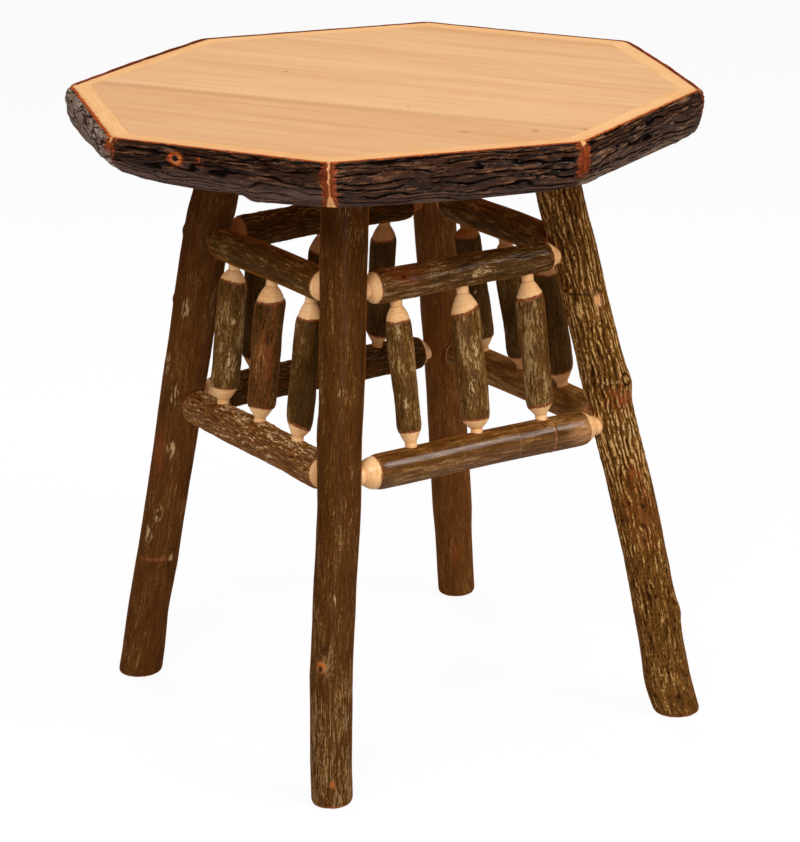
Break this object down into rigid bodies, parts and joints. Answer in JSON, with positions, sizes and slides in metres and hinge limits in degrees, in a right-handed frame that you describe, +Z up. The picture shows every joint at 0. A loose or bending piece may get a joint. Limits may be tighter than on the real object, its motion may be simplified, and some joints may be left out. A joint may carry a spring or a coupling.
{
  "type": "rustic hickory table",
  "caption": "Octagonal plank-topped table edged with bark-on half logs, on four splayed round legs tied by two tiers of rails with upright spindles between them.",
  "frame": {"origin": "on the floor under the middle of the table top", "axes": "+Z up; the front of the frame, between leg_front_left and leg_front_right, faces -Y; +X to the right seen from the front"},
  "size_m": [0.9106, 0.9106, 0.9144],
  "materials": {
    "top_boards": "satin clear varnish over planed hardwood",
    "bark_edge": "varnished natural bark, fissured",
    "leg_poles": "varnished hickory bark",
    "rail_poles": "varnished hickory bark, peeled tapered ends",
    "spindle_poles": "varnished hickory bark, peeled tapered ends",
    "hidden_wood": "bare planed hardwood",
    "screw_steel": "zinc plated"
  },
  "bodies": {
    "root": {"batten_back": "hidden_wood", "batten_front": "hidden_wood", "edge_dowels": "hidden_wood", "edge_log_1": "bark_edge", "edge_log_2": "bark_edge", "edge_log_3": "bark_edge", "edge_log_4": "bark_edge", "edge_log_5": "bark_edge", "edge_log_6": "bark_edge", "edge_log_7": "bark_edge", "edge_log_8": "bark_edge", "leg_back_left": "leg_poles", "leg_back_right": "leg_poles", "leg_front_left": "leg_poles", "leg_front_right": "leg_poles", "lower_rail_back": "rail_poles", "lower_rail_front": "rail_poles", "lower_rail_left": "rail_poles", "lower_rail_right": "rail_poles", "screws_back_batten": "screw_steel", "screws_front_batten": "screw_steel", "spindle_back_1": "spindle_poles", "spindle_back_2": "spindle_poles", "spindle_back_3": "spindle_poles", "spindle_front_1": "spindle_poles", "spindle_front_2": "spindle_poles", "spindle_front_3": "spindle_poles", "spindle_left_1": "spindle_poles", "spindle_left_2": "spindle_poles", "spindle_left_3": "spindle_poles", "spindle_right_1": "spindle_poles", "spindle_right_2": "spindle_poles", "spindle_right_3": "spindle_poles", "top_board_1": "top_boards", "top_board_2": "top_boards", "top_board_3": "top_boards", "top_board_4": "top_boards", "top_board_5": "top_boards", "top_board_6": "top_boards", "upper_rail_back": "rail_poles", "upper_rail_front": "rail_poles", "upper_rail_left": "rail_poles", "upper_rail_right": "rail_poles"}
  },
  "joints": []
}
